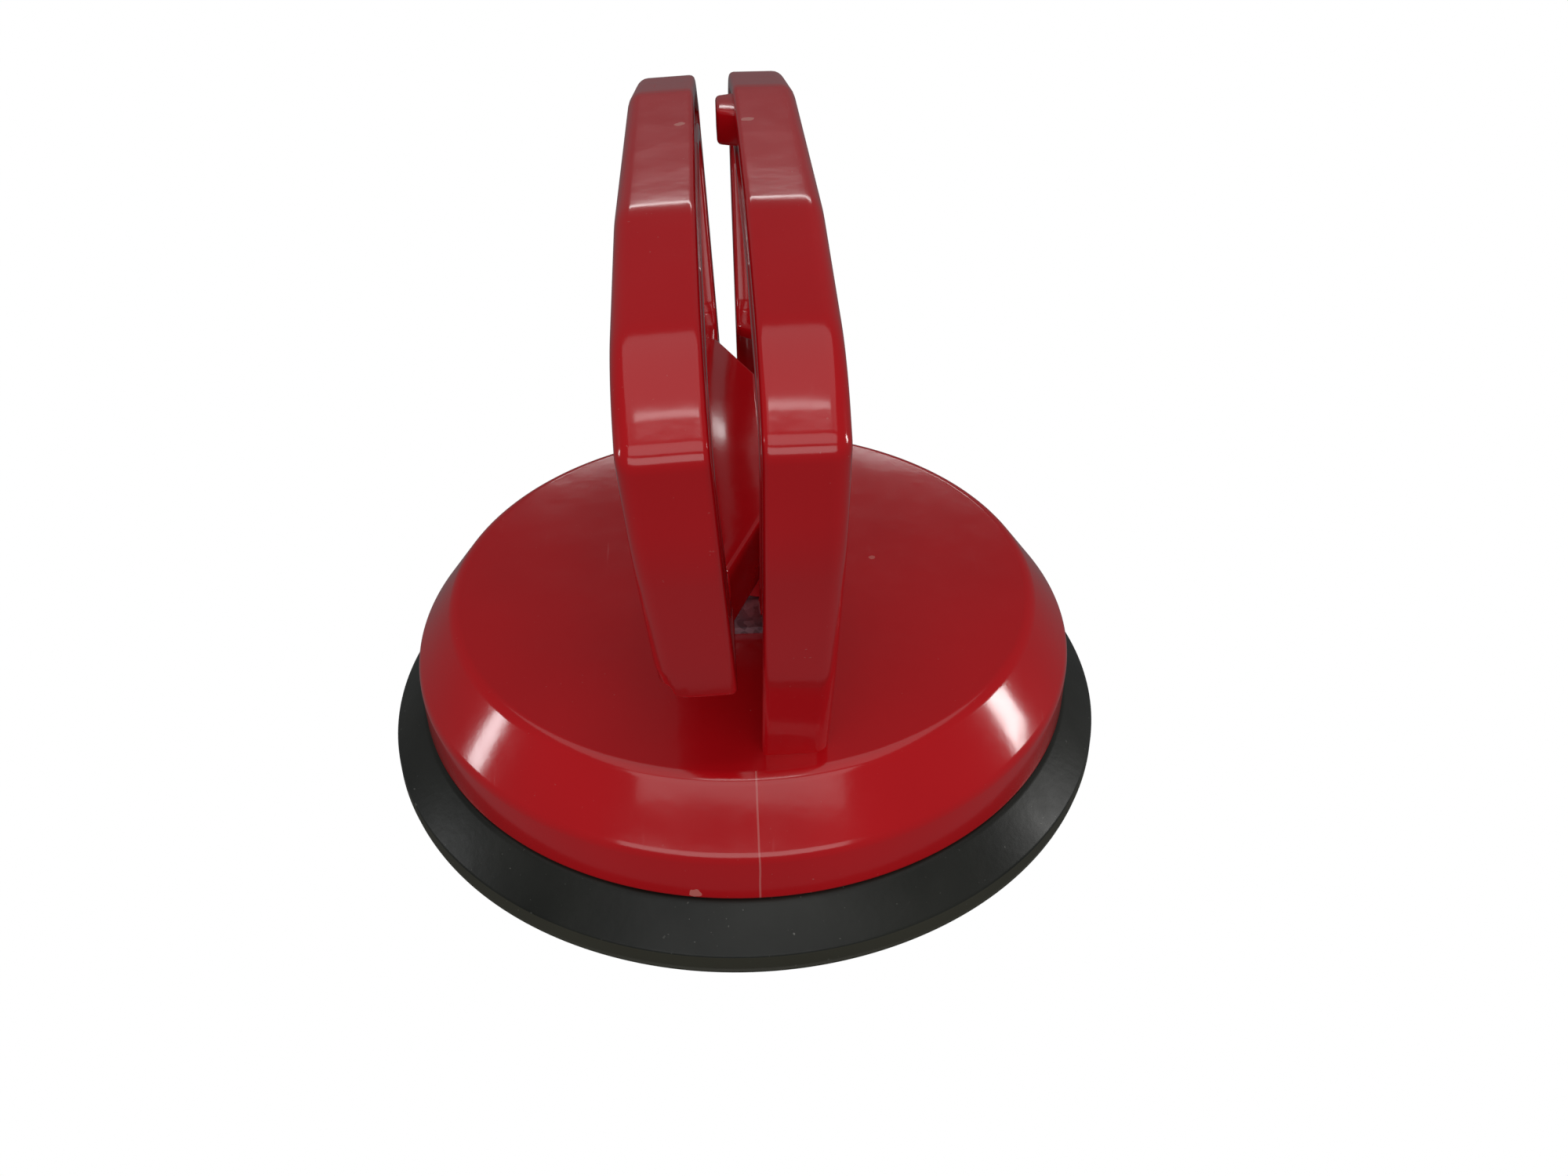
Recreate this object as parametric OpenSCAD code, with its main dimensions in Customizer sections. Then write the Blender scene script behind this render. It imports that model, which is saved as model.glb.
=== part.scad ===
// Hand vacuum lifter with one rubber cup. The lever rocks on a steel plate and
// pulls the middle of the cup up. Z = 0 is the plane of the sealing lip, the
// dome axis is Z, both handles run along Y.

/* [Cup] */
// Outer radius of the rubber pad
pad_r = 59; // [58:0.5:60]
// Height of the outer edge band of the pad
pad_edge_h = 3.5; // [3:0.1:4]
// Clear height under the middle of the pad
cup_depth = 4.2; // [4.1:0.1:4.6]

/* [Dome] */
// Outer radius of the dome skirt
dome_r = 53.4; // [53:0.1:54]
// Height of the flat top of the dome
dome_top = 25.8; // [25:0.1:27]
// Radius of the flat top, measured to the sharp corner
dome_flat_r = 46.6; // [45:0.1:48]
// Wall of the moulding
wall = 2.5; // [2:0.1:3]

/* [Handles] */
// Height of the top of the handles
handle_top = 96.1; // [94:0.1:98]
// Half length of the handles, measured to the sharp corner
handle_half = 60.2; // [59.6:0.1:61]
// Width of the fixed handle
fixed_w = 9.2; // [8.8:0.1:10]
// Width of the lever handle
lever_w = 9.7; // [9:0.1:10.2]
// Lean of the lever in the rest position, from closed
rest_open = 2.9; // [0:0.1:5]

/* [Cam] */
// Height of the pin above the plate when the lever is closed
cam_h = 8; // [7.5:0.1:9]
// Lift of the stem per radian of lever travel
cam_k = 3.2; // [2.5:0.1:3.4]
// Opening angle of the lever from closed
cam_open = 60; // [45:1:60]
// Gap between the cam and the plate
cam_gap = 0.1; // [0.05:0.05:0.2]

/* [Hidden] */
e = 0.01;
red = [0.72, 0.05, 0.07];
steel = [0.7, 0.7, 0.72];

plate_t = 1.2;
plate_z = dome_top + plate_t;
pin_r = 2;
pin_closed = plate_z + cam_gap + cam_h;
pin_rest = pin_closed - cam_k * rest_open * PI / 180;
fixed_x0 = 1.0;             // inner face of the fixed handle
fixed_x1 = fixed_x0 + fixed_w;
lever_x1 = -1.65;           // inner face of the lever when closed
lever_x0 = lever_x1 - lever_w;
rim = 2.3;                  // rim of the channel section
hole_z0 = 51.2;
hole_z1 = handle_top - 10;
grip_y = 9.8;               // depth of the handle's side, from outside to hole

// ---- planar helpers ------------------------------------------------------
function unit(v) = v / norm(v);
function turn(a) = a > 180 ? a - 360 : a < -180 ? a + 360 : a;
// points of a round corner of radius r at p1, in at most m steps
function corner(p0, p1, p2, r, m) =
    r < 0.05 ? [p1] :
    let (u = unit(p0 - p1), v = unit(p2 - p1), h = acos(u * v) / 2,
         c = p1 + unit(u + v) * r / sin(h),
         s = p1 + u * r / tan(h) - c, t = p1 + v * r / tan(h) - c,
         a = atan2(s[1], s[0]), d = turn(atan2(t[1], t[0]) - a),
         n = max(1, min(m, ceil(abs(d) / 9))))
    [for (i = [0:n]) c + r * [cos(a + d * i / n), sin(a + d * i / n)]];
// closed outline with a round corner at each point; p[i] = [y, z, r]
function xy(p) = [p[0], p[1]];
function rounded(p, n = 6) =
    [for (i = [0:len(p) - 1])
        let (a = p[(i + len(p) - 1) % len(p)], b = p[i], c = p[(i + 1) % len(p)])
        for (q = corner(xy(a), xy(b), xy(c), b[2], n)) q];
// the same outline moved in by d, for a counter-clockwise convex outline
function inset(p, d) =
    [for (i = [0:len(p) - 1])
        let (a = xy(p[(i + len(p) - 1) % len(p)]), b = xy(p[i]), c = xy(p[(i + 1) % len(p)]),
             u = unit(b - a), v = unit(c - b),
             m = [-u[1], u[0]], n = [-v[1], v[0]],
             q = b + (m + n) * d / (1 + m * n))
        [q[0], q[1], max(p[i][2] - d, 0.3)]];
// right half given bottom to top, mirrored to the left half
function both(h) = concat(h, [for (i = [len(h) - 1:-1:0]) [-h[i][0], h[i][1], h[i][2]]]);

// outer outlines, [y, z, corner radius]
upper = [[handle_half - 1.6, handle_top - 26.1, 45], [handle_half, handle_top - 12.1, 3.5],
         [52.3, handle_top - 4.9, 22], [24, handle_top, 25]];
fixed_outline = both(concat([[41.2, 22.4, 0.3], [50.6, 45.5, 45]], upper));
lever_outline = both(concat([[49.9, 43.0, 2.5]], upper));
// the hand hole
hole_outline = both([[42.3, hole_z0, 5], [48.2, 69.8, 40], [51, handle_top - 16.9, 5],
                     [45.5, hole_z1 - 3.5, 6], [24, hole_z1, 8]]);

module prism(pts, x0, x1) {
    translate([x0, 0, 0]) rotate([90, 0, 90]) linear_extrude(x1 - x0) polygon(pts);
}
// ribs inside the channel: top bar and both sides
module ribs(x0, x1) {
    for (y = [-36, -18, 0, 18, 36])
        translate([x0, y - 0.7, 84]) cube([x1 - x0, 1.4, 12]);
    for (s = [-1, 1], q = [[55, 70], [52, 59]])
        translate([x0, s * q[0] - 6, q[1]]) cube([x1 - x0, 12, 1.4]);
}

// ---- dome with the fixed handle ---------------------------------------------
outer_pts = concat(
    [[dome_r - 1.2, pad_edge_h + 5.2]],
    corner([dome_r - 3, 8.7], [dome_r, 8.7], [dome_r - 0.1, 16.8], 0.9, 3),
    corner([dome_r, 8.7], [dome_r - 0.1, 16.9], [dome_flat_r, dome_top], 3.2, 6),
    corner([dome_r - 0.1, 16.9], [dome_flat_r, dome_top], [0, dome_top], 2.6, 6));
inner_pts = [[0, dome_top - wall], [dome_flat_r - 1.4, dome_top - wall],
             [dome_r - wall - 0.2, 16.2], [dome_r - wall, 8.7]];

module dome() {
    rotate_extrude($fn = 144)
        polygon(concat([[dome_r - wall, 8.7]], outer_pts, [[0, dome_top]], inner_pts));
    // stem guide and ribs under the flat top
    translate([0, 0, 17]) cylinder(r = 10, h = dome_top - wall - 17 + e, $fn = 64);
    for (a = [0:45:315]) rotate([0, 0, a + 22.5])
        translate([9, -0.8, 18]) cube([dome_r - wall - 9.6 - 3.6, 1.6, dome_top - wall - 18 + e]);
}
module fixed_handle() {
    difference() {
        prism(rounded(fixed_outline), fixed_x0, fixed_x1);
        prism(rounded(hole_outline), fixed_x0 - 1, fixed_x1 + 1);
        // channel, open towards the lever
        difference() {
            prism(rounded(concat(inset(fixed_outline, rim))), fixed_x0 - 1, fixed_x1 - wall);
            prism(rounded(inset(hole_outline, -rim)), 5.4, fixed_x1);
            difference() {
                prism(rounded(inset(hole_outline, -rim)), 0, 6);
                translate([-1, -60, 0]) cube([8, 120, 54]);
            }
            ribs(fixed_x0 + 3.2, fixed_x1);
        }
        // room for the swing of the cam block
        translate([fixed_x0, -9.6, 20]) cube([8.1, 19.2, 25]);
        // room for the tongue of the lever
        translate([fixed_x0 - 1, -37, 40]) cube([4.4 + 1, 74, 14]);
        // the walls end on the dome
        translate([0, -60, 0]) cube([12, 120, dome_top - 1]);
    }
}
// stop on the inner face, under the top bar
module stop_boss() {
    translate([0, 0, handle_top - 6.5]) linear_extrude(5)
        polygon([[fixed_x0 - 2.55, 17.4], [fixed_x0 + 1.2, 15.8], [fixed_x0 + 1.2, 26.6],
                 [fixed_x0 - 2.55, 25]]);
}
module base_shell() {
    color(red) difference() {
        union() {
            dome();
            fixed_handle();
            stop_boss();
            // roots of the handle in the dome
            for (s = [-1, 1]) translate([fixed_x0 + 0.2, s * 41.6 - 1.2, dome_top - 2])
                cube([fixed_w - 0.4, 2.4, 3]);
        }
        translate([0, 0, 16]) cylinder(r = 6.1, h = 12, $fn = 64);
    }
}

// ---- lever ---------------------------------------------------------------
// cam curve: the height of the pin above the plate falls by cam_k per radian
function cam_pt(a) = let (h = cam_h - cam_k * a * PI / 180)
    [-h * sin(a) + cam_k * cos(a), -h * cos(a) - cam_k * sin(a)];
cam_pts = concat(
    [[4.1, 8.5], [4.1, -cam_h + 0.9], [cam_k, -cam_h]],
    [for (a = [4:4:cam_open]) cam_pt(a)],
    [cam_pt(cam_open) + 2.2 * [-cos(cam_open), sin(cam_open)]],
    [[-5.3, 0.6], [-6.6, 4.2], [-6.6, 8.5]]);

module lever_rest() {
    translate([0, 0, pin_rest]) rotate([0, -rest_open, 0]) translate([0, 0, -pin_closed])
        children();
}
module lever_handle() {
    color(red) lever_rest() difference() {
        union() {
            difference() {
                prism(rounded(lever_outline), lever_x0, lever_x1);
                prism(rounded(hole_outline), lever_x0 - 1, lever_x1 + 1);
                difference() {
                    prism(rounded(inset(lever_outline, rim)), lever_x0 + wall, lever_x1 + 1);
                    prism(rounded(inset(hole_outline, -rim)), lever_x0, lever_x1 + 2);
                    ribs(lever_x0, lever_x1 - 3.2);
                }
                // strongly rounded lower outer edge
                difference() {
                    translate([lever_x0 - 1, -60, 42]) cube([8, 120, 7.6]);
                    translate([lever_x0 + 7, -61, 50]) rotate([-90, 0, 0])
                        cylinder(r = 7, h = 122, $fn = 64);
                    translate([lever_x0 + 7, -61, 40]) cube([8, 122, 20]);
                }
            }
            // tongue that enters the fixed handle
            translate([0, 0, 42.4]) linear_extrude(9.2)
                polygon([[lever_x0 + 3.2, -36], [lever_x1 - 0.3, -34.5], [4.2, -20],
                         [4.2, 20], [lever_x1 - 0.3, 34.5], [lever_x0 + 3.2, 36]]);
            // cam block
            translate([0, 8.6, pin_closed]) rotate([90, 0, 0])
                linear_extrude(17.2) polygon(cam_pts);
        }
        // slot for the eye
        translate([-9, -3.2, 20]) cube([14, 6.4, 20.6]);
        translate([0, 20, pin_closed]) rotate([90, 0, 0]) cylinder(r = pin_r + 0.03, h = 40, $fn = 48);
    }
}
module hinge_pin() {
    color(steel) translate([0, 10.4, pin_rest]) rotate([90, 0, 0])
        cylinder(r = pin_r, h = 20.8, $fn = 48);
}
module pin_clips() {
    color(steel) for (s = [-1, 1]) translate([0, s * 9.15 + 0.45, pin_rest]) rotate([90, 0, 0])
        difference() {
            cylinder(r = 3.1, h = 0.9, $fn = 48);
            translate([0, 0, -1]) cylinder(r = pin_r + 0.03, h = 3, $fn = 48);
        }
}

// ---- stem ----------------------------------------------------------------
disc_z = cup_depth + 3.4;
disc_t = 1.5;
module backing_disc() {
    color(steel) difference() {
        translate([0, 0, disc_z + 0.02]) cylinder(r = 31, h = disc_t, $fn = 96);
        translate([0, 0, disc_z - 1]) cylinder(r = 4, h = 4, $fn = 48);
    }
}
module pad_stud() {
    color(steel) {
        translate([0, 0, disc_z + 0.02]) cylinder(r = 3.9, h = 14, $fn = 48);
        translate([0, 0, disc_z + 0.02 + disc_t + 0.02]) cylinder(r = 9, h = 2, $fn = 64);
    }
}
module lock_nut() {
    color(steel) difference() {
        translate([0, 0, 11.4]) cylinder(r = 7.5, h = 3.5, $fn = 6);
        translate([0, 0, 10]) cylinder(r = 3.94, h = 8, $fn = 48);
    }
}
module eye_stem() {
    color([0.55, 0.55, 0.58]) difference() {
        union() {
            translate([0, 0, 15]) cylinder(r = 6, h = 11.3, $fn = 64);
            translate([-5, -3, 26]) cube([10, 6, pin_rest - 26]);
            translate([0, 3, pin_rest]) rotate([90, 0, 0]) cylinder(r = 5, h = 6, $fn = 64);
        }
        translate([0, 0, 14]) cylinder(r = 3.94, h = 9, $fn = 48);
        translate([0, 10, pin_rest]) rotate([90, 0, 0]) cylinder(r = pin_r + 0.05, h = 20, $fn = 48);
    }
}
module wear_plate() {
    color([0.6, 0.58, 0.62]) difference() {
        translate([0, 0, dome_top]) linear_extrude(plate_t)
            polygon([[-7.6, -14.6], [-6.4, -15.8], [6.4, -15.8], [7.6, -14.6],
                     [7.6, 14.6], [6.4, 15.8], [-6.4, 15.8], [-7.6, 14.6]]);
        translate([0, 0, dome_top - 1]) cylinder(r = 6.4, h = 4, $fn = 64);
    }
}

// ---- rubber --------------------------------------------------------------
module rubber_pad() {
    color([0.07, 0.07, 0.065]) rotate_extrude($fn = 144) polygon([
        [0, disc_z], [31.1, disc_z], [31.1, 8.7], [dome_r + 0.2, 8.7], [dome_r + 0.7, 8.4],
        [pad_r - 0.5, pad_edge_h + 0.35], [pad_r - 0.1, pad_edge_h], [pad_r, pad_edge_h - 0.3],
        [pad_r, 1.3], [pad_r - 0.35, 1.1], [pad_r - 0.35, 0.8], [pad_r - 0.15, 0.6],
        [pad_r - 0.25, 0], [pad_r - 3.2, 0],
        [pad_r - 4.6, 0.9], [pad_r - 9, 2.4], [44, cup_depth - 0.7], [36, cup_depth], [0, cup_depth]]);
}

base_shell();
lever_handle();
rubber_pad();
backing_disc();
pad_stud();
lock_nut();
eye_stem();
wear_plate();
hinge_pin();
pin_clips();
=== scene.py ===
# Hand vacuum lifter with one rubber cup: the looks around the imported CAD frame.
import bpy, bmesh, math
from mathutils import Vector, Matrix


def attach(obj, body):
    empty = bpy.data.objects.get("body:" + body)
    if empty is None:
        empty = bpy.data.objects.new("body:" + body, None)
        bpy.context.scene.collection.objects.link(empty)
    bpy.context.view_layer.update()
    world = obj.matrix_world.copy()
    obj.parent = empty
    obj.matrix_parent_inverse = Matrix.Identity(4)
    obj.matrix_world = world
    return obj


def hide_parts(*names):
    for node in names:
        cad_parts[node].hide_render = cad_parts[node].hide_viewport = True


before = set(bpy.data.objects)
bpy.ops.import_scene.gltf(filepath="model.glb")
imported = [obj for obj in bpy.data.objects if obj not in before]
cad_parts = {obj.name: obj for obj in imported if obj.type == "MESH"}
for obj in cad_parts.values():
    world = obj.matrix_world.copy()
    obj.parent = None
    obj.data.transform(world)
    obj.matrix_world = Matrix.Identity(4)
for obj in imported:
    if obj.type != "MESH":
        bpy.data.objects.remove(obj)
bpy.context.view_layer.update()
MM = 0.001
scene = bpy.context.scene

# ---------------------------------------------------------------- camera ----
def make_camera():
    pitch, yaw, roll = math.radians(36.6), math.radians(3.45), math.radians(-0.345)
    f = Vector((math.sin(yaw) * math.cos(pitch), math.cos(yaw) * math.cos(pitch), -math.sin(pitch)))
    r = Vector((math.cos(yaw), -math.sin(yaw), 0.0))
    u = r.cross(f)
    r2 = math.cos(roll) * r + math.sin(roll) * u
    u2 = -math.sin(roll) * r + math.cos(roll) * u
    data = bpy.data.cameras.new("camera")
    data.sensor_width = 36.0
    data.lens = 1620.0 / 2000.0 * 36.0
    data.clip_start = 0.01
    cam = bpy.data.objects.new("camera", data)
    cam.matrix_world = Matrix(((r2.x, u2.x, -f.x, -0.003465), (r2.y, u2.y, -f.y, -0.168215),
                               (r2.z, u2.z, -f.z, 0.1476), (0, 0, 0, 1)))
    scene.collection.objects.link(cam)
    scene.camera = cam
make_camera()

# ---------------------------------------------------------- plane helpers ---
def corner(p0, p1, p2, r, n=8):
    p0, p1, p2 = Vector(p0), Vector(p1), Vector(p2)
    u, v = (p0 - p1).normalized(), (p2 - p1).normalized()
    h = u.angle(v) / 2
    if h > math.radians(89.7) or r < 0.05:
        k = 1.2
        return [tuple(p1 + (u * k * (1 - 2 * i / n) if 2 * i <= n else v * k * (2 * i / n - 1))) for i in range(n + 1)]
    c = p1 + (u + v).normalized() * r / math.sin(h)
    s = p1 + u * r / math.tan(h) - c
    t = p1 + v * r / math.tan(h) - c
    a = math.atan2(s.y, s.x)
    d = (math.atan2(t.y, t.x) - a + math.pi) % (2 * math.pi) - math.pi
    return [(c.x + r * math.cos(a + d * i / n), c.y + r * math.sin(a + d * i / n)) for i in range(n + 1)]

def both(half):
    return list(half) + [(-y, z, r) for y, z, r in reversed(half)]

def inset(p, d):
    out = []
    for i in range(len(p)):
        a, b, c = Vector(p[i - 1][:2]), Vector(p[i][:2]), Vector(p[(i + 1) % len(p)][:2])
        u, v = (b - a).normalized(), (c - b).normalized()
        m, n = Vector((-u.y, u.x)), Vector((-v.y, v.x))
        q = b + (m + n) * d / (1 + m.dot(n))
        out.append((q.x, q.y, max(p[i][2] - d, 0.3)))
    return out

def rounded(p, n=8):
    out = []
    for i in range(len(p)):
        out += corner(p[i - 1][:2], p[i][:2], p[(i + 1) % len(p)][:2], p[i][2], n)
    return out

# sizes of the CAD model, in millimetres
DOME_R, DOME_TOP, FLAT_R, WALL = 53.4, 25.8, 46.6, 2.5
TOP, HALF = 96.1, 60.2
FX0, FX1 = 1.0, 10.2
LX1 = -1.65
LX0 = LX1 - 9.7
RIM = 2.3
HOLE0, HOLE1 = 51.2, TOP - 10
PIN_CLOSED = 27.0 + 0.1 + 8.0
PIN_REST = PIN_CLOSED - 3.2 * math.radians(2.9)
UPPER = [(HALF - 1.6, TOP - 26.1, 45), (HALF, TOP - 12.1, 3.5), (52.3, TOP - 4.9, 22), (24, TOP, 25)]
FIXED = both([(41.2, 22.4, 0.3), (50.6, 45.5, 45)] + UPPER)
LEVER = both([(49.9, 43.0, 2.5)] + UPPER)
HOLE = [(42.3, HOLE0, 5), (48.2, 69.8, 40), (51, TOP - 16.9, 5), (45.5, HOLE1 - 3.5, 6), (24, HOLE1, 8)]
HOLE_L = both(HOLE)
HOLE_F = both([(31, HOLE0, 5)] + HOLE)

def to_rest(co):
    """closed place of the lever -> rest place (2.9 degrees open, pin lowered)"""
    a = math.radians(-2.9)
    x, z = co[0], co[2] - PIN_CLOSED
    return (x * math.cos(a) + z * math.sin(a), co[1], -x * math.sin(a) + z * math.cos(a) + PIN_REST)

# ------------------------------------------------------------ mesh helpers --
def new_object(name, bm, mats):
    bmesh.ops.remove_doubles(bm, verts=bm.verts, dist=1e-7)
    bmesh.ops.recalc_face_normals(bm, faces=bm.faces)
    me = bpy.data.meshes.new(name)
    bm.to_mesh(me)
    bm.free()
    for m in mats:
        me.materials.append(m)
    ob = bpy.data.objects.new(name, me)
    scene.collection.objects.link(ob)
    return ob

def lathe(bm, prof, n=256):
    """closed profile [(r, z)] in mm turned about Z; points with r=0 become one vertex"""
    rings = []
    for r, z in prof:
        if r < 1e-6:
            rings.append([bm.verts.new((0, 0, z * MM))])
        else:
            rings.append([bm.verts.new((r * MM * math.cos(2 * math.pi * i / n),
                                        r * MM * math.sin(2 * math.pi * i / n), z * MM)) for i in range(n)])
    m = len(rings)
    for k in range(m):
        a, b = rings[k], rings[(k + 1) % m]
        if len(a) == 1 and len(b) == 1:
            continue
        for i in range(n):
            j = (i + 1) % n
            if len(a) == 1:
                bm.faces.new((a[0], b[i], b[j]))
            elif len(b) == 1:
                bm.faces.new((a[i], b[0], a[j]))
            else:
                bm.faces.new((a[i], b[i], b[j], a[j]))
    return rings

def block(bm, poly, lo, hi, plane, bevel=0.4, seg=3, move=None):
    """a bevelled prism. plane 'yz': poly is (y, z) run along x. 'xy': along z. 'xz': along y."""
    tmp = bmesh.new()
    def at(p, t):
        return {"yz": (t, p[0], p[1]), "xy": (p[0], p[1], t), "xz": (p[0], t, p[1])}[plane]
    lo_v = [tmp.verts.new(Vector(at(p, lo)) * MM) for p in poly]
    hi_v = [tmp.verts.new(Vector(at(p, hi)) * MM) for p in poly]
    n = len(poly)
    tmp.faces.new(lo_v)
    tmp.faces.new(list(reversed(hi_v)))
    for i in range(n):
        j = (i + 1) % n
        tmp.faces.new((lo_v[i], lo_v[j], hi_v[j], hi_v[i]))
    bmesh.ops.recalc_face_normals(tmp, faces=tmp.faces)
    if bevel > 0:
        edges = [ed for ed in tmp.edges if ed.calc_face_angle(0) > math.radians(25)]
        bmesh.ops.bevel(tmp, geom=edges, offset=bevel * MM, segments=seg, profile=0.5,
                        affect='EDGES', clamp_overlap=True)
    if move:
        for v in tmp.verts:
            v.co = Vector(move(v.co / MM)) * MM
    me = bpy.data.meshes.new("tmp")
    tmp.to_mesh(me)
    tmp.free()
    bm.from_mesh(me)
    bpy.data.meshes.remove(me)

def smooth_by_angle(ob, deg=32):
    for p in ob.data.polygons:
        p.use_smooth = True
    bpy.context.view_layer.objects.active = ob
    ob.data.set_sharp_from_angle(angle=math.radians(deg))

def outline_points(q, n=10, extra=7):
    """points round an outline: the same count for each corner and side, so two outlines match point for point"""
    out, segs = [], len(q)
    arcs = [corner(q[i - 1][:2], q[i][:2], q[(i + 1) % segs][:2], q[i][2], n) for i in range(segs)]
    for i in range(segs):
        out += arcs[i]
        a, b = arcs[i][-1], arcs[(i + 1) % segs][0]
        for t in range(1, extra + 1):
            f = t / (extra + 1)
            out.append((a[0] * (1 - f) + b[0] * f, a[1] * (1 - f) + b[1] * f))
    return out

def d_handle(bm, outline, hole, x_in, x_out, floor, r_out, r_in, move=None, tuck=None):
    """The D-shaped channel section as one closed tube of quads: outer wall, back, hand hole,
    rims, and the channel's walls and floor. x_in is the open face and x_out the back."""
    s = 1 if x_out > x_in else -1
    loops = []
    def outer(d):
        return outline_points(inset(outline, d))
    def inner(d):
        return outline_points(inset(hole, -d))
    def add(pts, x, pocket=False):
        loops.append(([(x, y, z) for y, z in pts], pocket))
    arc = [i * math.pi / 2 / 6 for i in range(7)]
    xa, xb = x_in + s * r_in, x_out - s * r_out
    for a in arc[::2]:
        add(outer(r_in * (1 - math.sin(a))), x_in + s * r_in * (1 - math.cos(a)))
    for k in range(1, 8):
        add(outer(0), xa + (xb - xa) * k / 8)
    for a in arc:
        add(outer(r_out * (1 - math.cos(a))), x_out - s * r_out * (1 - math.sin(a)))
    o, i_ = outer(r_out), inner(r_out)
    for t in (0.2, 0.4, 0.6, 0.8):
        add([(a[0] * (1 - t) + b[0] * t, a[1] * (1 - t) + b[1] * t) for a, b in zip(o, i_)], x_out)
    for a in reversed(arc):
        add(inner(r_out * (1 - math.cos(a))), x_out - s * r_out * (1 - math.sin(a)))
    for k in range(3, 0, -1):
        add(inner(0), xa + (xb - xa) * k / 4)
    for a in reversed(arc[::2]):
        add(inner(r_in * (1 - math.sin(a))), x_in + s * r_in * (1 - math.cos(a)))
    e = 0.35
    add(inner(RIM - e), x_in)
    add(inner(RIM - e * 0.3), x_in + s * e * 0.3)
    add(inner(RIM), x_in + s * e)
    add(inner(RIM), floor - s * 0.6, True)
    add(inner(RIM + 0.2), floor - s * 0.2, True)
    add(inner(RIM + 0.6), floor, True)
    o, i_ = outer(RIM + 0.6), inner(RIM + 0.6)
    for t in (0.33, 0.67):
        add([(b[0] * (1 - t) + a[0] * t, b[1] * (1 - t) + a[1] * t) for a, b in zip(o, i_)], floor, True)
    add(outer(RIM + 0.6), floor, True)
    add(outer(RIM + 0.2), floor - s * 0.2, True)
    add(outer(RIM), floor - s * 0.6, True)
    for k in (2, 1):
        add(outer(RIM), floor + (x_in - floor) * (3 - k) / 3, True)
    add(outer(RIM), x_in + s * e)
    add(outer(RIM - e * 0.3), x_in + s * e * 0.3)
    add(outer(RIM - e), x_in)
    verts = []
    for lp, pocket in loops:
        row = []
        for co in lp:
            if tuck:
                co = tuck(co, pocket)
            if move:
                co = move(co)
            row.append(bm.verts.new(Vector(co) * MM))
        verts.append(row)
    m, n = len(verts), len(verts[0])
    for k in range(m):
        a, b = verts[k], verts[(k + 1) % m]
        for i in range(n):
            j = (i + 1) % n
            bm.faces.new((a[i], b[i], b[j], a[j]))

# ---------------------------------------------------------------- materials --
def nodes_of(name):
    m = bpy.data.materials.new(name)
    m.use_nodes = True
    nt = m.node_tree
    return m, nt, nt.nodes["Principled BSDF"]

def n_(nt, kind, **kw):
    x = nt.nodes.new(kind)
    for k, v in kw.items():
        if k.startswith("in_"):
            x.inputs[k[3:].replace("_", " ")].default_value = v
        else:
            setattr(x, k, v)
    return x

def noise(nt, co, scale, detail=3.0, rough=0.5):
    x = n_(nt, "ShaderNodeTexNoise")
    x.inputs["Scale"].default_value = scale
    x.inputs["Detail"].default_value = detail
    x.inputs["Roughness"].default_value = rough
    nt.links.new(co, x.inputs["Vector"])
    return x.outputs["Fac"]

def ramp(nt, fac, stops):
    x = n_(nt, "ShaderNodeValToRGB")
    el = x.color_ramp.elements
    while len(el) < len(stops):
        el.new(0.5)
    for k, (p, c) in enumerate(stops):
        el[k].position = p
        el[k].color = c if len(c) == 4 else (*c, 1)
    nt.links.new(fac, x.inputs["Fac"])
    return x.outputs["Color"]

def mixc(nt, fac, a, b):
    x = n_(nt, "ShaderNodeMix", data_type="RGBA")
    for sock, v in ((x.inputs[0], fac), (x.inputs[6], a), (x.inputs[7], b)):
        if isinstance(v, (tuple, list, float, int)):
            sock.default_value = v if not isinstance(v, tuple) or len(v) == 4 else (*v, 1)
        else:
            nt.links.new(v, sock)
    return x.outputs[2]

def math_(nt, op, a, b=None, c=None):
    x = n_(nt, "ShaderNodeMath", operation=op)
    for k, v in enumerate((a, b, c)):
        if v is None:
            continue
        if isinstance(v, (int, float)):
            x.inputs[k].default_value = v
        else:
            nt.links.new(v, x.inputs[k])
    return x.outputs[0]

def bump(nt, height, strength, dist, normal=None):
    x = n_(nt, "ShaderNodeBump")
    x.inputs["Strength"].default_value = strength
    x.inputs["Distance"].default_value = dist
    nt.links.new(height, x.inputs["Height"])
    if normal is not None:
        nt.links.new(normal, x.inputs["Normal"])
    return x.outputs["Normal"]

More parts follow.
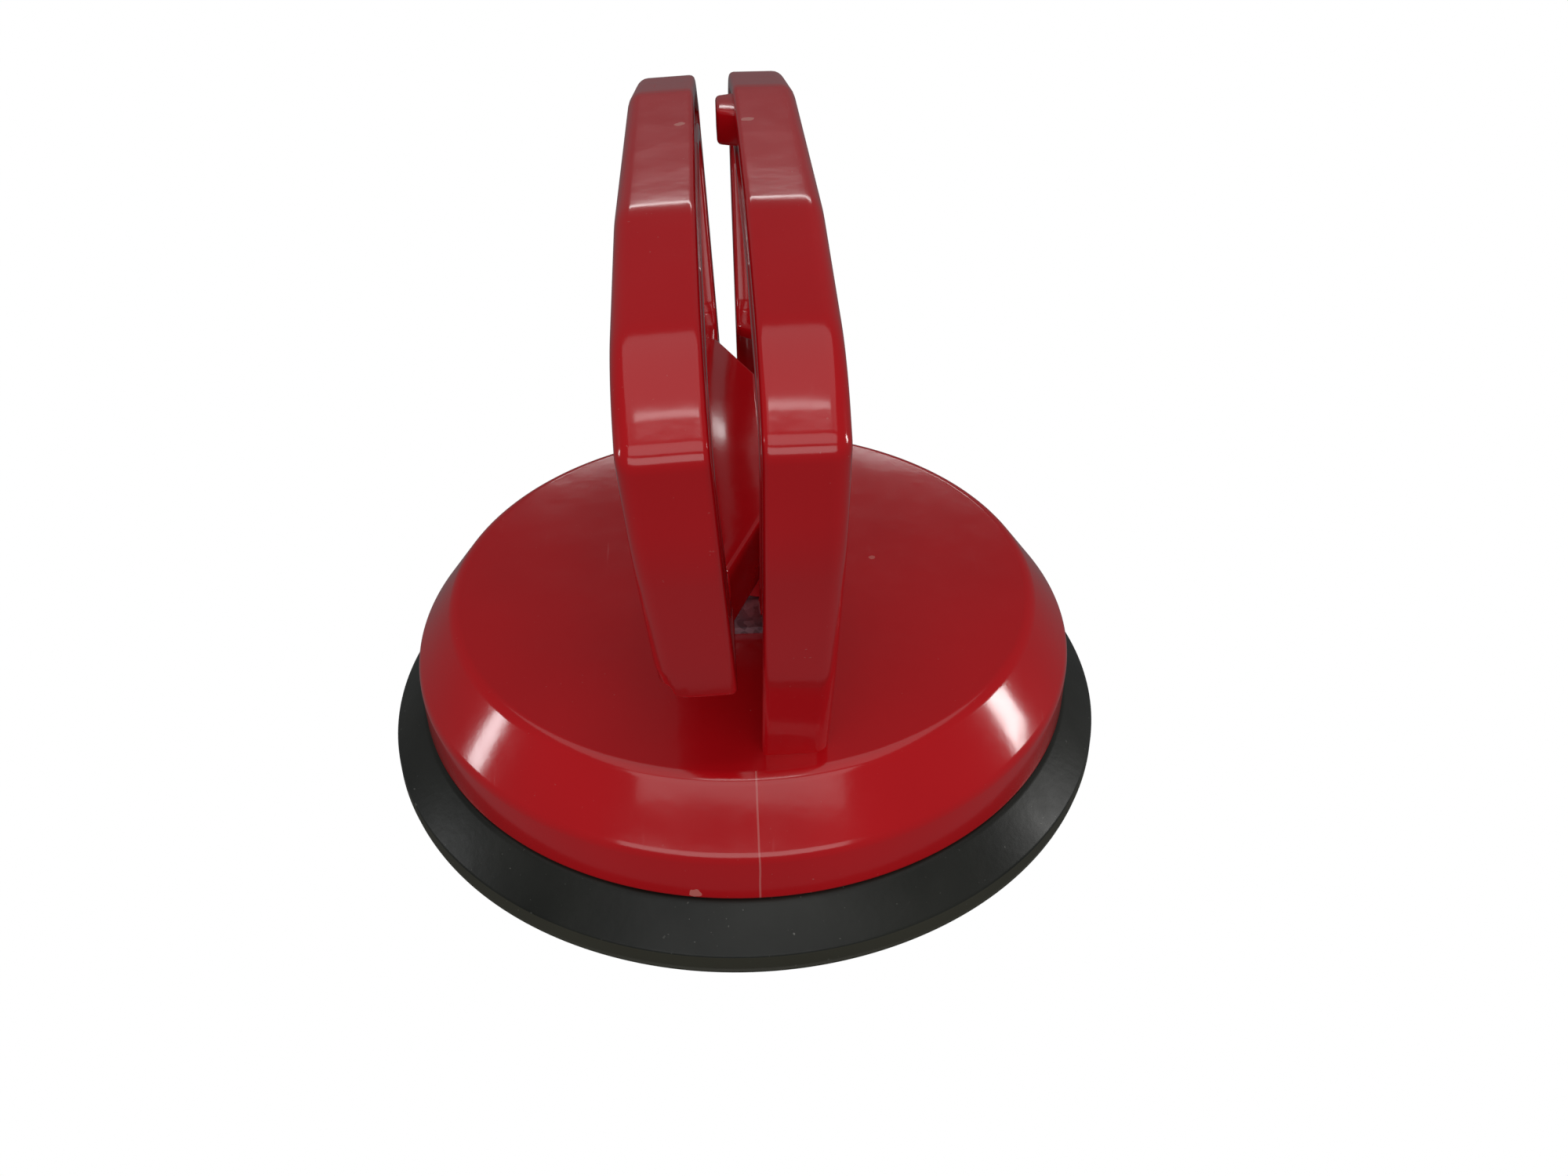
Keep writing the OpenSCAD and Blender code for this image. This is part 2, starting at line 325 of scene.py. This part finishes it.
def red_plastic(name, chips=(), knit=False):
    m, nt, p = nodes_of(name)
    co = n_(nt, "ShaderNodeTexCoord").outputs["Object"]
    sep = n_(nt, "ShaderNodeSeparateXYZ")
    nt.links.new(co, sep.inputs[0])
    big = noise(nt, co, 28.0, 2.0)
    col = ramp(nt, big, [(0.3, (0.53, 0.0045, 0.0085)), (0.7, (0.60, 0.0065, 0.0115))])
    # flow marks of the moulding, very faint
    w = n_(nt, "ShaderNodeTexWave", wave_type="BANDS")
    w.inputs["Scale"].default_value = 14.0
    w.inputs["Distortion"].default_value = 9.0
    w.inputs["Detail"].default_value = 2.0
    nt.links.new(co, w.inputs["Vector"])
    col = mixc(nt, math_(nt, "MULTIPLY", w.outputs["Fac"], 0.10), col, (0.46, 0.0040, 0.0075))
    # dust specks
    dust = noise(nt, co, 1900.0, 1.0)
    spots = ramp(nt, dust, [(0.76, (0, 0, 0)), (0.80, (1, 1, 1))])
    patch = ramp(nt, noise(nt, co, 60.0, 2.0), [(0.45, (0, 0, 0)), (0.7, (1, 1, 1))])
    sp = math_(nt, "MULTIPLY", math_(nt, "MULTIPLY", spots, patch), 0.35)
    col = mixc(nt, sp, col, (0.62, 0.30, 0.27))
    # pale scuffs and chips
    for (x, y, z, r, amount) in chips:
        d = n_(nt, "ShaderNodeVectorMath", operation="DISTANCE")
        nt.links.new(co, d.inputs[0])
        d.inputs[1].default_value = (x * MM, y * MM, z * MM)
        wob = math_(nt, "MULTIPLY", math_(nt, "SUBTRACT", noise(nt, co, 700.0, 3.0), 0.5), 1.6 * r * MM)
        near = math_(nt, "LESS_THAN", math_(nt, "ADD", d.outputs["Value"], wob), r * MM)
        col = mixc(nt, math_(nt, "MULTIPLY", near, amount), col, (0.75, 0.28, 0.24))
    rough = math_(nt, "ADD", math_(nt, "MULTIPLY", noise(nt, co, 240.0, 4.0), 0.07), 0.105)
    # hairline scratches
    sc = n_(nt, "ShaderNodeTexNoise")
    sc.inputs["Scale"].default_value = 1.0
    sc.inputs["Detail"].default_value = 2.0
    mp = n_(nt, "ShaderNodeMapping")
    mp.inputs["Rotation"].default_value = (0.5, 0.35, 0.6)
    mp.inputs["Scale"].default_value = (2600.0, 60.0, 160.0)
    nt.links.new(co, mp.inputs["Vector"])
    nt.links.new(mp.outputs[0], sc.inputs["Vector"])
    hair = ramp(nt, sc.outputs["Fac"], [(0.70, (0, 0, 0)), (0.78, (1, 1, 1))])
    rough = math_(nt, "ADD", rough, math_(nt, "MULTIPLY", hair, 0.10))
    peel = noise(nt, co, 420.0, 2.0)
    nrm = bump(nt, peel, 0.05, 0.0003)
    wavy = noise(nt, co, 75.0, 1.0)
    nrm = bump(nt, wavy, 0.12, 0.0009, nrm)
    nrm = bump(nt, hair, 0.03, 0.0001, nrm)
    if knit:
        # fine knit line down the front of the dome
        ax = math_(nt, "ABSOLUTE", math_(nt, "ADD", sep.outputs[0], math_(nt, "MULTIPLY",
                   math_(nt, "SUBTRACT", noise(nt, co, 90.0, 2.0), 0.5), 0.0004)))
        line = math_(nt, "LESS_THAN", ax, 0.00013)
        front = math_(nt, "LESS_THAN", sep.outputs[1], -0.0455)
        low = math_(nt, "LESS_THAN", sep.outputs[2], 0.0262)
        k = math_(nt, "MULTIPLY", math_(nt, "MULTIPLY", line, front), low)
        col = mixc(nt, math_(nt, "MULTIPLY", k, 0.32), col, (0.78, 0.36, 0.33))
        nrm = bump(nt, k, 0.25, 0.0001, nrm)
    nt.links.new(col, p.inputs["Base Color"])
    nt.links.new(rough, p.inputs["Roughness"])
    nt.links.new(nrm, p.inputs["Normal"])
    p.inputs["IOR"].default_value = 1.54
    p.inputs["Specular IOR Level"].default_value = 0.5
    p.inputs["Coat Weight"].default_value = 0.15
    p.inputs["Coat Roughness"].default_value = 0.06
    return m

def rubber_material():
    m, nt, p = nodes_of("rubber")
    co = n_(nt, "ShaderNodeTexCoord").outputs["Object"]
    sep = n_(nt, "ShaderNodeSeparateXYZ")
    nt.links.new(co, sep.inputs[0])
    col = ramp(nt, noise(nt, co, 45.0, 4.0), [(0.3, (0.010, 0.011, 0.009)), (0.75, (0.022, 0.023, 0.019))])
    spots = ramp(nt, noise(nt, co, 1500.0, 1.0), [(0.74, (0, 0, 0)), (0.79, (1, 1, 1))])
    patch = ramp(nt, noise(nt, co, 70.0, 3.0), [(0.42, (0, 0, 0)), (0.62, (1, 1, 1))])
    col = mixc(nt, math_(nt, "MULTIPLY", math_(nt, "MULTIPLY", spots, patch), 0.7), col, (0.20, 0.20, 0.18))
    bloom = ramp(nt, noise(nt, co, 22.0, 5.0, 0.6), [(0.45, (0, 0, 0)), (0.8, (1, 1, 1))])
    col = mixc(nt, math_(nt, "MULTIPLY", bloom, 0.25), col, (0.045, 0.047, 0.040))
    # the edge band is browner and duller than the top
    band = math_(nt, "LESS_THAN", sep.outputs[2], 0.0035)
    col = mixc(nt, math_(nt, "MULTIPLY", band, 0.55), col, (0.060, 0.056, 0.036))
    nt.links.new(col, p.inputs["Base Color"])
    r = math_(nt, "ADD", math_(nt, "MULTIPLY", noise(nt, co, 160.0, 4.0), 0.18), 0.30)
    r = math_(nt, "ADD", r, math_(nt, "MULTIPLY", band, 0.15))
    nt.links.new(r, p.inputs["Roughness"])
    nrm = bump(nt, noise(nt, co, 900.0, 3.0), 0.12, 0.0002)
    nrm = bump(nt, noise(nt, co, 110.0, 2.0), 0.10, 0.0006, nrm)
    nt.links.new(nrm, p.inputs["Normal"])
    p.inputs["IOR"].default_value = 1.5
    p.inputs["Specular IOR Level"].default_value = 0.3
    return m

def steel_material(name, base, dark, rough, speckle):
    m, nt, p = nodes_of(name)
    co = n_(nt, "ShaderNodeTexCoord").outputs["Object"]
    v = n_(nt, "ShaderNodeTexVoronoi")
    v.inputs["Scale"].default_value = speckle
    nt.links.new(co, v.inputs["Vector"])
    g = ramp(nt, v.outputs["Color"], [(0.2, dark), (0.8, base)])
    g = mixc(nt, math_(nt, "MULTIPLY", noise(nt, co, 600.0, 4.0), 0.6), g, base)
    nt.links.new(g, p.inputs["Base Color"])
    p.inputs["Metallic"].default_value = 1.0
    nt.links.new(math_(nt, "ADD", math_(nt, "MULTIPLY", noise(nt, co, 350.0, 4.0), 0.25), rough), p.inputs["Roughness"])
    mp = n_(nt, "ShaderNodeMapping")
    mp.inputs["Scale"].default_value = (300.0, 4000.0, 300.0)
    nt.links.new(co, mp.inputs["Vector"])
    fine = n_(nt, "ShaderNodeTexNoise")
    fine.inputs["Scale"].default_value = 1.0
    nt.links.new(mp.outputs[0], fine.inputs["Vector"])
    nt.links.new(bump(nt, fine.outputs["Fac"], 0.12, 0.0001), p.inputs["Normal"])
    return m

RED_BASE = red_plastic("red_base", chips=[(2.6, 7.5, TOP, 0.8, 0.7), (-9.0, -52.6, 10.0, 0.8, 0.6),
                                          (21.5, 3.0, 25.8, 0.5, 0.5)], knit=True)
RED_LEVER = red_plastic("red_lever", chips=[(-6.7, 7.5, 95.9, 0.8, 0.7)])
RUBBER = rubber_material()
STEEL = steel_material("zinc_steel", (0.66, 0.66, 0.68), (0.42, 0.42, 0.44), 0.25, 260.0)
PLATE = steel_material("speckled_zinc", (0.52, 0.48, 0.54), (0.20, 0.17, 0.21), 0.32, 900.0)
BRIGHT = steel_material("bright_steel", (0.72, 0.72, 0.73), (0.55, 0.55, 0.56), 0.18, 500.0)

# ------------------------------------------------------------- base shell ---
def arc_profile(points, n=8):
    """open polyline [(r, z, radius)] with round corners"""
    out = []
    for i, p in enumerate(points):
        if i == 0 or i == len(points) - 1 or p[2] <= 0:
            out.append((p[0], p[1]))
        else:
            out += corner(points[i - 1][:2], p[:2], points[i + 1][:2], p[2], n)
    return out

def build_base():
    bm = bmesh.new()
    prof = arc_profile([(0.0, DOME_TOP, 0), (30, DOME_TOP, 0), (FLAT_R, DOME_TOP, 2.6), (DOME_R - 0.1, 16.9, 3.2),
                        (DOME_R, 8.7, 0.9), (DOME_R - WALL, 8.7, 0.5), (DOME_R - WALL - 0.2, 16.2, 1.5),
                        (FLAT_R - 1.4, DOME_TOP - WALL, 2.0), (11.5, DOME_TOP - WALL, 1.0), (10.0, 17.0, 0.6),
                        (6.1, 17.0, 0.4), (6.1, DOME_TOP, 0.4)], 8)
    prof[0] = (8.0, DOME_TOP)
    lathe(bm, prof, 256)
    def tuck(co, pocket):
        x, y, z = co
        if pocket and abs(y) < 9.6 and z < 45 and x > 6:
            x = max(x, 9.1 if x > 7.6 else x)
        if z < 56 and abs(y) < 40 and x < 5.4 and z > 40:
            k = min(1.0, (40 - abs(y)) / 3.0) * min(1.0, (56 - z) / 2.0)
            x = x + (5.4 - x) * k
        return (x, y, z)
    d_handle(bm, FIXED, HOLE_F, FX0, FX1, FX1 - WALL, 2.2, 0.8, tuck=tuck)
    # stop boss
    block(bm, [(FX0 - 2.55, 17.4), (FX0 + 1.2, 15.8), (FX0 + 1.2, 26.6), (FX0 - 2.55, 25)], TOP - 6.5, TOP - 1.5, "xy", 0.6, 3)
    # ribs in the channel
    for y in (-36, -18, 0, 18, 36):
        lo, hi = (84.6, 91.2) if abs(y) > 30 else (87.4, 94.2)
        block(bm, [(y - 0.7, lo), (y + 0.7, lo), (y + 0.7, hi), (y - 0.7, hi)], FX0 + 3.2, FX1 - 1, "yz", 0.25, 2)
    for s in (-1, 1):
        for y0, y1, z in ((51.0, 57.0, 70), (47.0, 53.6, 59)):
            block(bm, [(s * y0, z), (s * y1, z), (s * y1, z + 1.4), (s * y0, z + 1.4)],
                  FX0 + 3.2, FX1 - 1, "yz", 0.25, 2)
    # ribs under the dome
    for a in range(8):
        t = math.radians(45 * a + 22.5)
        def spin(co, t=t):
            return (co[0] * math.cos(t) - co[1] * math.sin(t), co[0] * math.sin(t) + co[1] * math.cos(t), co[2])
        block(bm, [(9.2, -0.8), (46.5, -0.8), (46.5, 0.8), (9.2, 0.8)], 18.0, 24.0, "xy", 0.3, 2, move=spin)
    ob = new_object("base_shell_looks", bm, [RED_BASE])
    smooth_by_angle(ob, 34)
    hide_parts("base_shell")
    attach(ob, "base")
    return ob

# ------------------------------------------------------------------ lever ---
def cam_pt(deg):
    a = math.radians(deg)
    h = 8.0 - 3.2 * a
    return (-h * math.sin(a) + 3.2 * math.cos(a), PIN_CLOSED - h * math.cos(a) - 3.2 * math.sin(a))

def build_lever():
    bm = bmesh.new()
    cx, cz = LX0 + 7.0, 50.0
    def tuck(co, pocket):
        x, y, z = co
        if z < cz and x < cx:
            dx, dz = x - cx, z - cz
            d = math.hypot(dx, dz)
            lim = 4.7 if pocket else 7.0
            if d > lim:
                x, z = cx + dx / d * lim, cz + dz / d * lim
        return (x, y, z)
    d_handle(bm, LEVER, HOLE_L, LX1, LX0, LX0 + WALL, 2.2, 0.8, move=to_rest, tuck=tuck)
    for y in (-36, -18, 0, 18, 36):
        lo, hi = (84.6, 91.2) if abs(y) > 30 else (87.4, 94.2)
        block(bm, [(y - 0.7, lo), (y + 0.7, lo), (y + 0.7, hi), (y - 0.7, hi)], LX0 + 1, LX1 - 3.2, "yz", 0.25, 2, move=to_rest)
    for s in (-1, 1):
        for y0, y1, z in ((51.0, 57.0, 70), (47.0, 53.6, 59)):
            block(bm, [(s * y0, z), (s * y1, z), (s * y1, z + 1.4), (s * y0, z + 1.4)],
                  LX0 + 1, LX1 - 3.2, "yz", 0.25, 2, move=to_rest)
    # tongue and cam block
    block(bm, [(LX0 + 3.2, -36), (LX1 - 0.3, -34.5), (4.2, -20), (4.2, 20), (LX1 - 0.3, 34.5), (LX0 + 3.2, 36)],
          42.4, 51.6, "xy", 0.5, 3, move=to_rest)
    cam = [(4.1, 43.3), (4.1, PIN_CLOSED - 7.1), (3.2, PIN_CLOSED - 8.0)] + [cam_pt(a) for a in range(6, 61, 6)]
    c = cam_pt(60)
    cam += [(c[0] - 1.1, c[1] + 1.905), (-5.3, PIN_CLOSED + 0.6), (-6.6, PIN_CLOSED + 4.2), (-6.6, 43.3)]
    for lo, hi in ((-8.6, -3.2), (3.2, 8.6)):
        block(bm, cam, lo, hi, "xz", 0.3, 2, move=to_rest)
    block(bm, [(-6.4, 40.6), (4.0, 40.6), (4.0, 43.4), (-6.4, 43.4)], -3.5, 3.5, "xz", 0.2, 2, move=to_rest)
    ob = new_object("lever_looks", bm, [RED_LEVER])
    smooth_by_angle(ob, 34)
    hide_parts("lever_handle")
    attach(ob, "lever")
    return ob

# ----------------------------------------------------------------- rubber ---
def build_pad():
    bm = bmesh.new()
    R = 59.0
    top = arc_profile([(0, 7.6, 0), (31.1, 7.6, 0.3), (31.1, 8.7, 0.3), (DOME_R + 0.2, 8.7, 1.5), (R - 0.1, 3.7, 0.9),
                       (R, 1.35, 0.15), (R - 0.4, 1.15, 0.12), (R - 0.4, 0.8, 0.12), (R - 0.15, 0.55, 0.12), (R - 0.3, 0.0, 0.25),
                       (R - 3.2, 0.0, 0.4), (R - 4.6, 0.9, 0.8)], 6)
    under = [(R - 6.2, 1.45), (R - 7.5, 1.9)]
    # two low sealing ridges under the pad
    def ridge(r, z, w=0.8, h=0.45):
        return [(r + w, z), (r + w * 0.5, z - h * 0.7), (r, z - h), (r - w * 0.5, z - h * 0.7), (r - w, z)]
    under += ridge(49.0, 2.65) + [(46.5, 3.15)] + ridge(42.0, 3.75) + [(36, 4.2), (20, 4.22), (0, 4.22)]
    lathe(bm, top + under, 256)
    ob = new_object("rubber_pad_looks", bm, [RUBBER])
    smooth_by_angle(ob, 40)
    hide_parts("rubber_pad")
    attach(ob, "base")
    return ob

base = build_base()
lever = build_lever()
pad = build_pad()

for node, mat in (("backing_disc", STEEL), ("pad_stud", STEEL), ("lock_nut", STEEL), ("eye_stem", STEEL),
                  ("wear_plate", PLATE), ("hinge_pin", BRIGHT), ("pin_clips", BRIGHT)):
    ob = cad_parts[node]
    ob.data.materials.clear()
    ob.data.materials.append(mat)

# ----------------------------------------------------------------- lights ---
def area(name, loc, aim, size, power, color=(1, 1, 1), shape="RECTANGLE"):
    d = bpy.data.lights.new(name, "AREA")
    d.shape = shape
    d.size, d.size_y = size
    d.energy = power
    d.color = color
    ob = bpy.data.objects.new(name, d)
    ob.location = loc
    ob.rotation_euler = (Vector(aim) - Vector(loc)).to_track_quat("-Z", "Y").to_euler()
    scene.collection.objects.link(ob)
    return ob

area("window_right", (0.80, 0.0, 0.16), (0.0, 0, 0.03), (0.12, 0.20), 1.1, (1.0, 0.99, 0.98))
area("window_left", (-0.80, 0.0, 0.14), (0.0, 0, 0.03), (0.08, 0.16), 0.45, (0.97, 0.98, 1.0))
area("window_back", (0.10, 1.60, 0.79), (0, 0, 0.09), (0.9, 0.08), 1.2)
area("overhead", (0.0, -0.62, 1.60), (0, -0.05, 0.08), (0.7, 0.10), 1.0)
area("ceiling", (0.0, 0.10, 1.90), (0, 0, 0.03), (2.4, 2.0), 9.0)
area("front_high", (-0.1, -1.3, 1.30), (0, 0, 0.05), (2.2, 1.0), 8.0)
area("front_low", (-0.2, -1.8, 0.35), (0, 0, 0.05), (2.4, 0.7), 9.0)

world = bpy.data.worlds.new("studio")
world.use_nodes = True
wt = world.node_tree
bg = wt.nodes["Background"]
bg.inputs["Color"].default_value = (0.93, 0.96, 1.0, 1)
bg.inputs["Strength"].default_value = 0.13
white = wt.nodes.new("ShaderNodeBackground")
white.inputs["Color"].default_value = (1, 1, 1, 1)
white.inputs["Strength"].default_value = 1.0
lp = wt.nodes.new("ShaderNodeLightPath")
mx = wt.nodes.new("ShaderNodeMixShader")
wt.links.new(lp.outputs["Is Camera Ray"], mx.inputs[0])
wt.links.new(bg.outputs[0], mx.inputs[1])
wt.links.new(white.outputs[0], mx.inputs[2])
wt.links.new(mx.outputs[0], wt.nodes["World Output"].inputs["Surface"])
scene.world = world
scene.view_settings.view_transform = "Standard"
